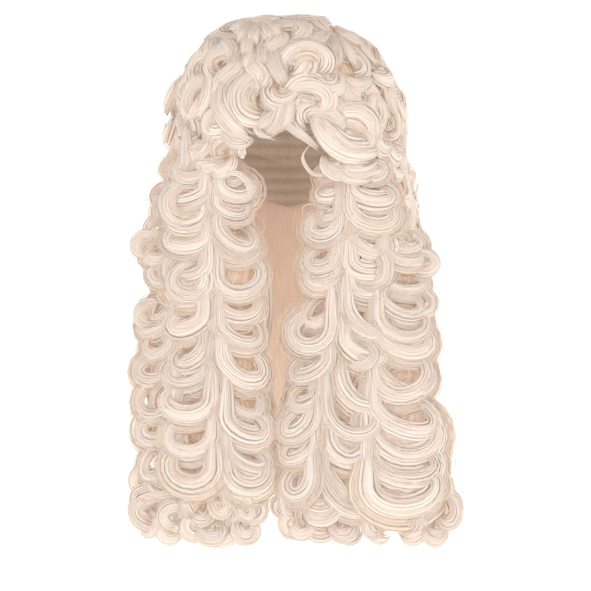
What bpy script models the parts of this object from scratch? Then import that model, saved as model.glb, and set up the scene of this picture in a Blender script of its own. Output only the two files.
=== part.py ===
"""A full-bottomed wig of curled white hair on a thin net cap.

The frame is metres, +Z up, and the wearer faces -Y. The origin is the inside
of the cap at its highest point, where the wearer's head carries it. The sizes
in the tables are millimetres, and MM turns them into metres. Azimuths are
degrees round the head, 0 at the forehead and 90 at the wearer's +X side.
"""
import math

import bmesh
import bpy
from mathutils import Vector

MM = 0.001
GAP = 0.3                # clearance between neighbouring pieces

# The head: inner half widths of the cap, and the level where it is widest
HEAD_HALF = (78.0, 99.0, 100.0)
EAR_LEVEL = -100.0
CAP_WALL = 2.0
CAP_COLUMNS = 16
CAP_ROWS = 4
CAP_POLE = 0.35          # how far its first ring lies from its top, in rows
NECK_LEVEL = -190.0      # hair stays out of the head's space down to here

CAP_RIM = (
    # azimuth, z
    (0, -64),
    (50, -78),
    (80, -96),
    (110, -92),
    (150, -140),
    (180, -150),
)

# The hair mass on the skull, under its curls, and where its pieces part
CROWN_HALF = (105.0, 117.0, 117.0)
CROWN_POWER = 2.9        # 2 would make it round, and more squares its shoulders
CROWN_CORE = 0.6         # the mass reaches in past the cap, which trims it
CROWN_RINGS = 4
DOME_SHARES = (0.003, 0.12, 0.45, 1.0)   # where its rings lie, from the top down
DOME_STEP = 20.0         # degrees between points of the top
ARC_STEP = 15.5          # degrees between points of the other pieces
CORE_STEP = 40.0         # degrees between points of their inner side
LEAST_LEVEL = 4.0        # levels of a lofted form are no closer than this
TOP_LEVEL = -38.0
FRINGE_LEVEL = -74.0
TEMPLE_LEVEL = -112.0
TEMPLE_AZIMUTH = 24.0
SIDE_AZIMUTH = 60.0
BACK_AZIMUTH = 118.0
FALL_AZIMUTH = 55.0

# The fall below the ears: half width, half depth and thickness at each level
FALL = (
    # z, half_x, half_y, wall
    (-100, 105, 117, 20),
    (-150, 114, 120, 22),
    (-210, 120, 122, 22),
    (-290, 120, 124, 22),
    (-350, 118, 128, 22),
    (-430, 118, 130, 20),
)
SIDE_END = -292.0
BACK_LEVELS = (-100.0, -181.0, -262.0, -343.0, -424.0)

# The front falls, called lappets: the spine that their curls grow from, the
# tips of the curls on each side of it, and the face that lies on the chest
LAPPET_LEFT = (
    # z, back_y, inner_x, spine_x, outer_x
    (-108, -60, -48, -76, -110),
    (-150, -62, -38, -76, -122),
    (-200, -63, -27, -74, -134),
    (-275, -64, -20, -74, -136),
    (-320, -74, -23, -72, -146),
    (-365, -86, -18, -68, -132),
    (-430, -94, -21, -66, -126),
    (-480, -98, -28, -66, -150),
)
LAPPET_RIGHT = (
    # z, back_y, inner_x, spine_x, edge_x, outer_x
    (-108, -60, 36, 60, 98, 104),
    (-150, -62, 30, 59, 104, 116),
    (-208, -63, 23, 58, 103, 134),
    (-260, -64, 11, 55, 98, 136),
    (-317, -74, 2, 46, 94, 141),
    (-360, -86, -7, 36, 90, 151),
    (-415, -94, -4, 33, 88, 148),
    (-480, -98, -2, 34, 90, 160),
)
LAPPET_LINES = {"inner": 2, "spine": 3, "edge": 4}
LAPPET_WALL = 16.0
LAPPET_INSET = 16.0      # the curls' tips reach this far past the backing
ENDS_LEVEL = -430.0
ENDS_BOTTOM = -466.0
EDGE_TOP = -196.0        # where the right lappet's outermost column starts

# A curl's tube: sides round it, steps along it, and how its width runs
TUBE_SIDES = 4
TUBE_STEPS = 6
TUBE_THICKNESS = 0.75    # out of the hair, as a share of its half width
ROOT_SHARE = 0.75
TIP_SHARE = 0.45
FULLEST = 0.4            # where along its length a lock is widest

# A hook is a curl that leaves a spine downwards, swings out and winds back in
HOOK_START = 150.0
HOOK_SWEEP = 270.0
WIND_IN = 0.3            # how much smaller the ring is at its tip
BAND_IN_COLUMN = 0.36    # the most of its column's half width that a tube may take
TALLEST = 1.25           # the most height that a hook's ring has for its width
ROOT_SINK = 2.0          # how deep a hook's ends lie in the hair behind it
HOOK_CLEAR = 1.0         # between a hook and the lines of its column
RING_ENDS = 0.2          # how far a crown ring's ends stand out, in bands
RING_RISE = 0.7          # how much further its middle does

CROWN_CURLS = (
    # piece, azimuth, z, half_w, half_h, start, sweep, band
    ("fringe_left", -14, -58, 21, 21, 70, 230, 13),
    ("fringe_left", -34, -74, 13, 20, 100, 180, 11),
    ("fringe_left", -50, -54, 17, 17, 70, 240, 12),
    ("fringe_right", 9, -60, 19, 18, 110, -220, 12),
    ("fringe_right", 28, -78, 17, 15, 150, -230, 11),
    ("fringe_right", 43, -56, 17, 17, 150, -260, 12),
    ("temple_roll_left", -44, -97, 20, 17, 70, 240, 12),
    ("temple_roll_left", -64, -96, 14, 15, 80, 250, 11),
    ("temple_roll_right", 38, -94, 20, 18, 130, -260, 13),
    ("temple_roll_right", 60, -106, 15, 16, 110, -250, 11),
    ("crown_top", 17, -17, 20, 15, 200, -265, 12),
    ("crown_top", -14, -12, 16, 20, 60, 220, 12),
    ("crown_top", -34, 6, 15, 14, 20, 250, 11),
    ("crown_top", 20, 10, 15, 14, 160, -250, 11),
    ("crown_top", 50, -12, 16, 16, 150, -250, 12),
    ("crown_top", -54, -20, 17, 16, 60, 250, 12),
    ("crown_top", 88, -18, 16, 16, 120, -250, 12),
)
CROWN_ROWS = (
    # piece, z, first azimuth, last azimuth, count, radius
    ("crown_top", -16, 128, 268, 4, 17),
    ("crown_top", 10, 110, 250, 2, 17),
    ("crown_side_left", -56, -76, -106, 2, 15),
    ("crown_side_left", -88, -84, -112, 2, 15),
    ("crown_side_right", -56, 74, 106, 2, 15),
    ("crown_side_right", -88, 80, 108, 2, 15),
    ("crown_back", -54, 132, 228, 4, 17),
    ("crown_back", -90, 134, 226, 3, 17),
)
CROWN_BAND = 12.0
ROW_START = 70.0
ROW_SWEEP = 260.0

# Columns of hooks down the falls: where the first and last hang, how many
LAPPET_COLUMNS = (
    # piece, table, from, to, first z, last z, count, half_h, band, lift
    ("lappet_left_inner", LAPPET_LEFT, "spine", "inner", -136, -408, 7, 21, 9, 16),
    ("lappet_left_outer", LAPPET_LEFT, "spine", "outer", -142, -404, 7, 22, 12, 18),
    ("lappet_right_inner", LAPPET_RIGHT, "spine", "inner", -146, -408, 7, 21, 9, 16),
    ("lappet_right_outer", LAPPET_RIGHT, "spine", "edge", -140, -404, 7, 22, 11, 18),
    ("lappet_right_edge", LAPPET_RIGHT, "edge", "outer", -224, -406, 5, 21, 10, 14),
)
END_CURLS = (
    # piece, x, z, half_w, half_h, start, sweep, band
    ("lappet_left_ends", -128, -454, 19, 20, 20, 270, 8),
    ("lappet_left_ends", -92, -456, 16, 20, 140, 265, 8),
    ("lappet_left_ends", -58, -452, 13, 24, 120, -265, 6),
    ("lappet_left_ends", -36, -446, 11, 20, 60, 250, 5),
    ("lappet_right_ends", 16, -448, 15, 22, 120, -265, 7),
    ("lappet_right_ends", 54, -450, 18, 22, 100, 265, 8),
    ("lappet_right_ends", 96, -454, 18, 20, 60, -265, 8),
    ("lappet_right_ends", 138, -452, 17, 20, 150, -265, 8),
)
END_LIFT = 12.0
FALL_COLUMNS = (
    # piece, spine azimuth, reach in degrees, first z, last z, count, half_h, band
    ("side_fall_left", -86, 16, -140, -258, 3, 18, 12),
    ("side_fall_left", -92, -16, -128, -246, 3, 18, 12),
    ("side_fall_right", 86, -16, -140, -258, 3, 18, 12),
    ("side_fall_right", 92, 16, -128, -246, 3, 18, 12),
)
BACK_SPINES = (134.0, 164.5, 195.5, 226.0)
BACK_REACH = 19.0
BACK_BAND = 12.0
ROW_CLEAR = 5.0          # between a back row's hooks and its ends
FALL_LIFT = 9.0

FLAT_ANGLE = math.radians(1.0)
SHARP_ANGLE = math.radians(40.0)
HAIR_WHITE = (0.86, 0.80, 0.72)
NET_WHITE = (0.78, 0.74, 0.68)
HAIR_ROUGHNESS = 0.45
NET_ROUGHNESS = 0.8


class Shape:
    """Closed forms that may pass through each other, in millimetres."""

    def __init__(self):
        self.points = []
        self.faces = []

    def loft(self, rings):
        """Join closed rings of points into one skin with both ends filled."""
        first = len(self.points)
        count = len(rings[0])
        for ring in rings:
            self.points.extend(tuple(p) for p in ring)
        for row in range(len(rings) - 1):
            low = first + row * count
            for i in range(count):
                j = (i + 1) % count
                self.faces.append((low + i, low + j, low + count + j))
                self.faces.append((low + i, low + count + j, low + count + i))
        last = first + (len(rings) - 1) * count
        self.faces.append(tuple(range(first, first + count)))
        self.faces.append(tuple(range(last, last + count)))

    def tube(self, guide, band, grow):
        """One lock of hair: a flattened tube along a guide, thin at its tip."""
        rings = []
        steps = len(guide) - 1
        for i, (point, outward) in enumerate(guide):
            along = guide[min(i + 1, steps)][0] - guide[max(i - 1, 0)][0]
            along.normalize()
            across = along.cross(outward).normalized()
            out = across.cross(along)
            share = lock_share(i / steps)
            wide = across * (band * share + grow)
            deep = out * (band * TUBE_THICKNESS * share + grow)
            if i in (0, steps):
                point = point + along * (grow if i else -grow)
            rings.append([point + wide * c + deep * s for c, s in TUBE_SECTION])
        self.loft(rings)


def unit_circle(count):
    """Even points of a unit circle."""
    angles = [math.tau * i / count for i in range(count)]
    return [(math.cos(a), math.sin(a)) for a in angles]


TUBE_SECTION = unit_circle(TUBE_SIDES)


def lock_share(along):
    """How wide a lock is at a share of its length."""
    if along < FULLEST:
        return ROOT_SHARE + (1 - ROOT_SHARE) * along / FULLEST
    return 1 - (1 - TIP_SHARE) * ((along - FULLEST) / (1 - FULLEST)) ** 2


def between(table, z, column):
    """One column of a table whose rows go down, read at a height."""
    if z >= table[0][0]:
        return table[0][column]
    for high, low in zip(table, table[1:]):
        if z >= low[0]:
            share = (high[0] - z) / (high[0] - low[0])
            return high[column] + share * (low[column] - high[column])
    return table[-1][column]


def levels(table, top, bottom):
    """The heights of a table's rows that lie between two ends, and the ends."""
    inside = [row[0] for row in table
              if bottom + LEAST_LEVEL < row[0] < top - LEAST_LEVEL]
    return [top] + inside + [bottom]


def arc(azimuth_a, azimuth_b, half_x, half_y, step=ARC_STEP):
    """Points of a level ellipse from one azimuth to another."""
    count = max(1, round(abs(azimuth_b - azimuth_a) / step))
    angles = [azimuth_a + (azimuth_b - azimuth_a) * i / count for i in range(count + 1)]
    return [(half_x * math.sin(math.radians(a)), -half_y * math.cos(math.radians(a)))
            for a in angles]


def crown_size(z, grow=0.0):
    """Half width and half depth of the hair mass at a height."""
    if z <= EAR_LEVEL:
        return between(FALL, z, 1) + grow, between(FALL, z, 2) + grow
    rise = (z - EAR_LEVEL) / (CROWN_HALF[2] + grow)
    level = max(1 - rise ** CROWN_POWER, 0.0) ** (1 / CROWN_POWER)
    return (CROWN_HALF[0] + grow) * level, (CROWN_HALF[1] + grow) * level


def crown_point(direction, lift):
    """A point over the crown in a direction from the middle of the head."""
    half_x, half_y, half_z = CROWN_HALF
    level = math.hypot(direction.x / half_x, direction.y / half_y)
    rise = abs(direction.z) / half_z
    scale = (level ** CROWN_POWER + rise ** CROWN_POWER) ** (1 / CROWN_POWER)
    point = direction / scale
    level_share = (level / scale) ** (CROWN_POWER - 2)
    outward = Vector((point.x / half_x ** 2 * level_share,
                      point.y / half_y ** 2 * level_share,
                      math.copysign((rise / scale) ** (CROWN_POWER - 1) / half_z, point.z)))
    outward.normalize()
    return Vector((0, 0, EAR_LEVEL)) + point + outward * lift, outward


def fall_point(azimuth, z, lift):
    """A point over the fall below the ears, and the way out of it."""
    half_x, half_y = between(FALL, z, 1), between(FALL, z, 2)
    turn = math.radians(azimuth)
    x, y = half_x * math.sin(turn), -half_y * math.cos(turn)
    outward = Vector((x / half_x ** 2, y / half_y ** 2, 0)).normalized()
    return Vector((x, y, z)) + outward * lift, outward


def crown_ring(azimuth, z, half_w, half_h, start, sweep, band):
    """The guide of a curl that lies as a ring on the crown."""
    half_x, half_y = crown_size(z)
    turn = math.radians(azimuth)
    spot = Vector((half_x * math.sin(turn), -half_y * math.cos(turn), z - EAR_LEVEL))
    middle, outward = crown_point(spot, 0)
    right = Vector((0, 0, 1)).cross(outward).normalized()
    up = outward.cross(right)
    guide = []
    for i in range(TUBE_STEPS + 1):
        along = i / TUBE_STEPS
        angle = math.radians(start + sweep * along)
        size = 1 - WIND_IN * along
        spot = middle + right * half_w * size * math.cos(angle)
        spot += up * half_h * size * math.sin(angle)
        spot.z -= EAR_LEVEL
        rise = RING_ENDS + RING_RISE * math.sin(math.pi * along)
        guide.append(crown_point(spot, band * rise))
    return guide


def hook(place, root, tip, z, half_h, lift):
    """The guide of a curl that hangs from a spine and winds up at its tip."""
    middle = (root + tip) / 2
    half_w = (tip - root) / 2
    guide = []
    for i in range(TUBE_STEPS + 1):
        along = i / TUBE_STEPS
        angle = math.radians(HOOK_START + HOOK_SWEEP * along)
        size = 1 - WIND_IN * along
        spot = place(middle + half_w * size * math.cos(angle),
                     z + half_h * size * math.sin(angle),
                     lift * math.sin(math.pi * along) - ROOT_SINK)
        guide.append(spot)
    return guide


def lappet_place(table):
    """Where a point of a lappet's curls lies: across, height and lift."""
    def place(x, z, lift):
        front = between(table, z, 1) - LAPPET_WALL
        return Vector((x, front - lift, z)), Vector((0, -1, 0))
    return place


def lappet_x(table, line, z):
    """The sideways place of a lappet's spine or of the tips of its curls."""
    return between(table, z, LAPPET_LINES.get(line, len(table[0]) - 1))


def cap_rim(azimuth):
    """The height of the cap's rim at an azimuth."""
    turn = abs((azimuth + 180) % 360 - 180)
    for (a, z_a), (b, z_b) in zip(CAP_RIM, CAP_RIM[1:]):
        if turn <= b:
            share = (turn - a) / (b - a)
            return z_a + (z_b - z_a) * share * share * (3 - 2 * share)
    return CAP_RIM[-1][1]


def cap_ring(row, grow):
    """One ring of points of the cap, from its top (row 0) to its rim."""
    half = [h + grow for h in HEAD_HALF]
    ring = []
    for i in range(CAP_COLUMNS):
        azimuth = 360 * i / CAP_COLUMNS
        rim_angle = math.acos((cap_rim(azimuth) - EAR_LEVEL) / half[2])
        fall = rim_angle * (row + CAP_POLE) / (CAP_ROWS + CAP_POLE)
        turn = math.radians(azimuth)
        ring.append(Vector((half[0] * math.sin(fall) * math.sin(turn),
                            -half[1] * math.sin(fall) * math.cos(turn),
                            EAR_LEVEL + half[2] * math.cos(fall))))
    return ring


def cap_form():
    """The net cap: down its outside, round its rim and up its inside."""
    shape = Shape()
    outside = [cap_ring(row, CAP_WALL) for row in range(CAP_ROWS + 1)]
    inside = [cap_ring(row, 0) for row in range(CAP_ROWS, -1, -1)]
    shape.loft(outside + inside)
    return shape


def head_form():
    """The space of the cap and the head, which no hair may enter."""
    shape = Shape()
    rings = [cap_ring(row, CAP_WALL + GAP) for row in range(CAP_ROWS + 1)]
    rings.append([Vector((p.x, p.y, NECK_LEVEL)) for p in rings[-1]])
    shape.loft(rings)
    return shape


def crown_patch(shape, azimuth_a, azimuth_b, top, bottom, grow):
    """Part of the hair mass on the skull, between two azimuths and levels."""
    spread = math.degrees(grow / CROWN_HALF[0])
    azimuth_a, azimuth_b = azimuth_a - spread, azimuth_b + spread
    rings = []
    for i in range(CROWN_RINGS):
        z = top + grow + (bottom - top - 2 * grow) * i / (CROWN_RINGS - 1)
        half_x, half_y = crown_size(z, grow)
        outer = arc(azimuth_a, azimuth_b, half_x, half_y)
        inner = arc(azimuth_b, azimuth_a, half_x * CROWN_CORE, half_y * CROWN_CORE,
                    CORE_STEP)
        rings.append([Vector((x, y, z)) for x, y in outer + inner])
    shape.loft(rings)


def crown_dome(shape, bottom, grow):
    """The top of the hair mass on the skull."""
    rings = []
    top = EAR_LEVEL + CROWN_HALF[2] + grow
    for share in DOME_SHARES:
        z = top + (bottom - grow - top) * share
        half_x, half_y = crown_size(z, grow)
        around = arc(0, 360 - DOME_STEP, half_x, half_y, DOME_STEP)
        rings.append([Vector((x, y, z)) for x, y in around])
    shape.loft(rings)


def fall_patch(shape, azimuth_a, azimuth_b, top, bottom, grow):
    """Part of the hair that hangs below the ears, as a thick curved curtain."""
    spread = math.degrees(grow / CROWN_HALF[0])
    azimuth_a, azimuth_b = azimuth_a - spread, azimuth_b + spread
    rings = []
    for z in levels(FALL, top + grow, bottom - grow):
        half_x, half_y, wall = (between(FALL, z, column) for column in (1, 2, 3))
        outer = arc(azimuth_a, azimuth_b, half_x + grow, half_y + grow)
        wall += grow
        inner = arc(azimuth_b, azimuth_a, half_x - wall, half_y - wall)
        rings.append([Vector((x, y, z)) for x, y in outer + inner])
    shape.loft(rings)


def lappet_panel(shape, table, line_a, line_b, top, bottom, grow):
    """The backing of part of a lappet, between two of its lines."""
    rings = []
    for z in levels(table, top + grow, bottom - grow):
        a, b = lappet_x(table, line_a, z), lappet_x(table, line_b, z)
        side = math.copysign(1, b - a)
        inset = LAPPET_INSET if line_b in ("inner", "outer") else 0
        inset_a = LAPPET_INSET if line_a in ("inner", "outer") else 0
        a += side * (inset_a - grow + GAP / 2)
        b -= side * (inset - grow + GAP / 2)
        back = between(table, z, 1) + grow
        front = back - LAPPET_WALL - 2 * grow
        rings.append([Vector(p) for p in
                      ((a, back, z), (b, back, z), (b, front, z), (a, front, z))])
    shape.loft(rings)


def add_crown_curls(shape, piece, grow):
    """The curls that a piece of the crown carries, from both tables."""
    for name, azimuth, z, half_w, half_h, start, sweep, band in CROWN_CURLS:
        if name == piece:
            guide = crown_ring(azimuth, z, half_w, half_h, start, sweep, band)
            shape.tube(guide, band, grow)
    for name, z, first, last, count, radius in CROWN_ROWS:
        for i in range(count if name == piece else 0):
            azimuth = first + (last - first) * i / (count - 1)
            way = 1 if i % 2 else -1
            guide = crown_ring(azimuth, z, radius, radius, ROW_START, way * ROW_SWEEP,
                               CROWN_BAND)
            shape.tube(guide, CROWN_BAND, grow)


def crown_piece(piece, azimuth_a, azimuth_b, top, bottom):
    """A maker for a piece of the crown: its mass and its curls."""
    def make(grow):
        shape = Shape()
        if azimuth_a is None:
            crown_dome(shape, bottom, grow)
        else:
            crown_patch(shape, azimuth_a, azimuth_b, top, bottom, grow)
        add_crown_curls(shape, piece, grow)
        return shape
    return make


def side_piece(piece, azimuth_a, azimuth_b):
    """A maker for the hair between one ear and the shoulder."""
    def make(grow):
        shape = Shape()
        fall_patch(shape, azimuth_a, azimuth_b, EAR_LEVEL, SIDE_END, grow)
        for name, spine, reach, first, last, count, half_h, band in FALL_COLUMNS:
            for i in range(count if name == piece else 0):
                z = first + (last - first) * i / (count - 1)
                guide = hook(fall_point, spine, spine + reach, z, half_h, FALL_LIFT)
                shape.tube(guide, band, grow)
        return shape
    return make


def back_piece(row):
    """A maker for one row of curls down the back."""
    top, bottom = BACK_LEVELS[row], BACK_LEVELS[row + 1]
    half_h = (top - bottom) / 2 - BACK_BAND - ROW_CLEAR

    def make(grow):
        shape = Shape()
        fall_patch(shape, BACK_AZIMUTH, 360 - BACK_AZIMUTH, top, bottom, grow)
        for i, spine in enumerate(BACK_SPINES):
            way = 1 if (i + row) % 2 else -1
            root = spine - way * BACK_REACH / 2
            guide = hook(fall_point, root, root + way * BACK_REACH,
                         (top + bottom) / 2, half_h, FALL_LIFT)
            shape.tube(guide, BACK_BAND, grow)
        return shape
    return make


def lappet_piece(piece):
    """A maker for one side of a lappet: its backing and a column of hooks."""
    row = [row for row in LAPPET_COLUMNS if row[0] == piece][0]
    _, table, line_a, line_b, first, last, count, half_h, band, lift = row
    top = EDGE_TOP if line_a == "edge" else table[0][0]

    def make(grow):
        shape = Shape()
        lappet_panel(shape, table, line_a, line_b, top, ENDS_LEVEL, grow)
        for i in range(count):
            z = first + (last - first) * i / (count - 1)
            a, b = lappet_x(table, line_a, z), lappet_x(table, line_b, z)
            band_here = min(band, abs(b - a) / 2 * BAND_IN_COLUMN)
            side = math.copysign(band_here + HOOK_CLEAR, b - a)
            tall = min(half_h, abs(b - a - 2 * side) / 2 * TALLEST)
            guide = hook(lappet_place(table), a + side, b - side, z, tall, lift)
            shape.tube(guide, band_here, grow)
        return shape
    return make


def ends_piece(piece, table):
    """A maker for the curled ends of a lappet."""
    def make(grow):
        shape = Shape()
        lappet_panel(shape, table, "inner", "outer", ENDS_LEVEL, ENDS_BOTTOM, grow)
        place = lappet_place(table)
        for name, x, z, half_w, half_h, start, sweep, band in END_CURLS:
            if name != piece:
                continue
            guide = []
            for i in range(TUBE_STEPS + 1):
                along = i / TUBE_STEPS
                angle = math.radians(start + sweep * along)
                size = 1 - WIND_IN * along
                lift = END_LIFT * math.sin(math.pi * along)
                guide.append(place(x + half_w * size * math.cos(angle),
                                   z + half_h * size * math.sin(angle), lift))
            shape.tube(guide, band, grow)
        return shape
    return make


# Each piece, how it is made, and the pieces that lie over it and trim it
PIECES = (
    ("temple_roll_left", crown_piece("temple_roll_left", -SIDE_AZIMUTH, -TEMPLE_AZIMUTH,
                                     FRINGE_LEVEL, TEMPLE_LEVEL), ()),
    ("temple_roll_right", crown_piece("temple_roll_right", TEMPLE_AZIMUTH, SIDE_AZIMUTH,
                                      FRINGE_LEVEL, TEMPLE_LEVEL), ()),
    ("fringe_left", crown_piece("fringe_left", -SIDE_AZIMUTH, 0,
                                TOP_LEVEL, FRINGE_LEVEL), ("temple_roll_left",)),
    ("fringe_right", crown_piece("fringe_right", 0, SIDE_AZIMUTH, TOP_LEVEL, FRINGE_LEVEL),
     ("temple_roll_right", "fringe_left")),
    ("crown_top", crown_piece("crown_top", None, None, None, TOP_LEVEL),
     ("fringe_left", "fringe_right")),
    ("crown_side_left", crown_piece("crown_side_left", -BACK_AZIMUTH, -SIDE_AZIMUTH,
                                    TOP_LEVEL, EAR_LEVEL),
     ("fringe_left", "temple_roll_left", "crown_top")),
    ("crown_side_right", crown_piece("crown_side_right", SIDE_AZIMUTH, BACK_AZIMUTH,
                                     TOP_LEVEL, EAR_LEVEL),
     ("fringe_right", "temple_roll_right", "crown_top")),
    ("crown_back", crown_piece("crown_back", BACK_AZIMUTH, 360 - BACK_AZIMUTH,
                               TOP_LEVEL, EAR_LEVEL),
     ("crown_top", "crown_side_left", "crown_side_right")),
    ("lappet_left_inner", lappet_piece("lappet_left_inner"), ("temple_roll_left",)),
    ("lappet_left_outer", lappet_piece("lappet_left_outer"),
     ("temple_roll_left", "crown_side_left", "lappet_left_inner")),
    ("lappet_right_inner", lappet_piece("lappet_right_inner"), ("temple_roll_right",)),
    ("lappet_right_outer", lappet_piece("lappet_right_outer"),
     ("temple_roll_right", "crown_side_right", "lappet_right_inner")),
    ("lappet_right_edge", lappet_piece("lappet_right_edge"),
     ("temple_roll_right", "crown_side_right", "lappet_right_outer")),
    ("lappet_left_ends", ends_piece("lappet_left_ends", LAPPET_LEFT),
     ("lappet_left_inner", "lappet_left_outer")),
    ("lappet_right_ends", ends_piece("lappet_right_ends", LAPPET_RIGHT),
     ("lappet_right_inner", "lappet_right_outer", "lappet_right_edge")),
    ("side_fall_left", side_piece("side_fall_left", -BACK_AZIMUTH, -FALL_AZIMUTH),
     ("temple_roll_left", "crown_side_left", "lappet_left_inner", "lappet_left_outer")),
    ("side_fall_right", side_piece("side_fall_right", FALL_AZIMUTH, BACK_AZIMUTH),
     ("temple_roll_right", "crown_side_right", "lappet_right_inner", "lappet_right_outer",
      "lappet_right_edge")),
    ("back_row_1", back_piece(0),
     ("crown_back", "crown_side_left", "crown_side_right", "side_fall_left",
      "side_fall_right")),
    ("back_row_2", back_piece(1), ("back_row_1", "side_fall_left", "side_fall_right")),
    ("back_row_3", back_piece(2), ("back_row_2", "side_fall_left", "side_fall_right")),
    ("back_row_4", back_piece(3), ("back_row_3",)),
)


def principled(name, colour, roughness):
    """A plain material for one piece."""
    material = bpy.data.materials.new(name)
    material.use_nodes = True
    shader = material.node_tree.nodes["Principled BSDF"]
    shader.inputs["Base Color"].default_value = (*colour, 1)
    shader.inputs["Roughness"].default_value = roughness
    shader.inputs["Metallic"].default_value = 0
    return material


def mesh_object(name, shape):
    """An object of closed forms, facing out, in metres."""
    mesh = bpy.data.meshes.new(name)
    mesh.from_pydata([tuple(c * MM for c in p) for p in shape.points], [], shape.faces)
    work = bmesh.new()
    work.from_mesh(mesh)
    bmesh.ops.recalc_face_normals(work, faces=work.faces)
    bmesh.ops.triangulate(work, faces=work.faces)
    work.to_mesh(mesh)
    work.free()
    obj = bpy.data.objects.new(name, mesh)
    bpy.context.scene.collection.objects.link(obj)
    return obj


def join_shapes(shapes):
    """Several shapes as one."""
    whole = Shape()
    for shape in shapes:
        first = len(whole.points)
        whole.points.extend(shape.points)
        whole.faces.extend(tuple(first + i for i in face) for face in shape.faces)
    return whole


def merge_flat_faces(mesh):
    """Join the faces that a trim left split though they lie in one plane."""
    work = bmesh.new()
    work.from_mesh(mesh)
    bmesh.ops.dissolve_limit(work, angle_limit=FLAT_ANGLE, verts=work.verts,
                             edges=work.edges)
    bmesh.ops.triangulate(work, faces=work.faces)
    work.to_mesh(mesh)
    work.free()


def keep_main_body(mesh):
    """Delete the offcuts that a trim leaves beside the main body."""
    work = bmesh.new()
    work.from_mesh(mesh)
    work.faces.ensure_lookup_table()
    seen = set()
    bodies = []
    for face in work.faces:
        if face in seen:
            continue
        body, front = [], [face]
        seen.add(face)
        while front:
            here = front.pop()
            body.append(here)
            for edge in here.edges:
                for beside in edge.link_faces:
                    if beside not in seen:
                        seen.add(beside)
                        front.append(beside)
        bodies.append(body)
    bodies.sort(key=lambda body: sum(f.calc_area() for f in body))
    offcuts = [face for body in bodies[:-1] for face in body]
    bmesh.ops.delete(work, geom=offcuts, context="FACES")
    loose = [v for v in work.verts if not v.link_faces]
    bmesh.ops.delete(work, geom=loose, context="VERTS")
    work.to_mesh(mesh)
    work.free()


def trimmed(name, shape, cutters):
    """Fuse a shape's forms into one body and cut its neighbours away."""
    obj = mesh_object(name, shape)
    tool = mesh_object(name + "_trim", join_shapes(cutters))
    cut = obj.modifiers.new("trim", "BOOLEAN")
    cut.operation = "DIFFERENCE"
    cut.solver = "EXACT"
    cut.use_self = True
    cut.object = tool
    depsgraph = bpy.context.evaluated_depsgraph_get()
    mesh = bpy.data.meshes.new_from_object(obj.evaluated_get(depsgraph))
    obj.modifiers.clear()
    obj.data = mesh
    bpy.data.objects.remove(tool)
    keep_main_body(mesh)
    merge_flat_faces(mesh)
    return obj


def finish(obj, seat, colour, roughness):
    """Shade a piece, give it its material and hang it on the seat."""
    obj.data.shade_smooth()
    obj.data.set_sharp_from_angle(angle=SHARP_ANGLE)
    obj.data.materials.clear()
    obj.data.materials.append(principled(obj.name + "_finish", colour, roughness))
    obj.parent = seat


def main():
    for obj in list(bpy.data.objects):
        bpy.data.objects.remove(obj)
    seat = bpy.data.objects.new("head_seat", None)
    bpy.context.scene.collection.objects.link(seat)
    cap = mesh_object("foundation_cap", cap_form())
    finish(cap, seat, NET_WHITE, NET_ROUGHNESS)
    makers = {name: make for name, make, _ in PIECES}
    for name, make, over in PIECES:
        cutters = [head_form()] + [makers[other](GAP) for other in over]
        obj = trimmed(name, make(0.0), cutters)
        finish(obj, seat, HAIR_WHITE, HAIR_ROUGHNESS)


main()
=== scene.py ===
"""The looks of a full-bottomed wig: every curl is a bundle of strands.

The frame is metres, +Z up, and the wearer faces -Y. The tables are in
millimetres and degrees, and MM turns lengths into metres. An azimuth is 0 at
the forehead and 90 at the wearer's +X side.
"""
import math

import bpy
import numpy as np
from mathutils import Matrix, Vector


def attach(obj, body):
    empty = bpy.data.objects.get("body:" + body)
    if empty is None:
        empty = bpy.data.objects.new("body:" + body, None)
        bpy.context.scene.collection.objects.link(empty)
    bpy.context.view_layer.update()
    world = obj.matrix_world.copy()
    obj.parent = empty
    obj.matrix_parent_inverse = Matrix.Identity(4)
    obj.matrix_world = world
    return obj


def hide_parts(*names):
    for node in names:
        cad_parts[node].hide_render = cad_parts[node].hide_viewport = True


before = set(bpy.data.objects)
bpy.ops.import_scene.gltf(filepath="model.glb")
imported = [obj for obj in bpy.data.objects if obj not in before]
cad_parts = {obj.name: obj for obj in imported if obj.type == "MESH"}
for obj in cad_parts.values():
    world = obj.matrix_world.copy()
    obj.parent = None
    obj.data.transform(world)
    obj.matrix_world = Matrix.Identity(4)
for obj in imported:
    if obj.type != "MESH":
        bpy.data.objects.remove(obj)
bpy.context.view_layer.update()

MM = 0.001

# The camera stands level in front of the face, as in the photograph
FACE_Y = -90.0
CAMERA_AWAY = 2200.0
CAMERA_X = 7.3
CAMERA_Z = -242.0
VIEW_WIDTH = 573.0          # what the picture shows across, at the face
SENSOR = 36.0
VIEW_ROUNDS = 10            # in which a place that the camera sees is found
VIEW_STEP = 0.7             # share of the error that each round takes off

# The head and the hair mass on it
EAR_LEVEL = -100.0
CROWN_HALF = np.array((105.0, 117.0, 117.0))
CROWN_POWER = 2.9           # 2 would make it round
DOME_RISE = 8.0             # the curls stand higher over the middle of the head
DOME_LEAN = 0.6             # and less so towards the wig's right, from DOME_SIDE on
DOME_SIDE = 60.0
DOME_FROM = -25.0
DOME_SPAN = 42.0
CROWN_TOP = 16.7
FALL = np.array((
    # z, half_x, half_y, wall
    (-100, 105, 117, 11),
    (-150, 114, 120, 22),
    (-210, 120, 122, 22),
    (-290, 120, 124, 22),
    (-350, 118, 128, 22),
    (-430, 118, 130, 20),
))

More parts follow.
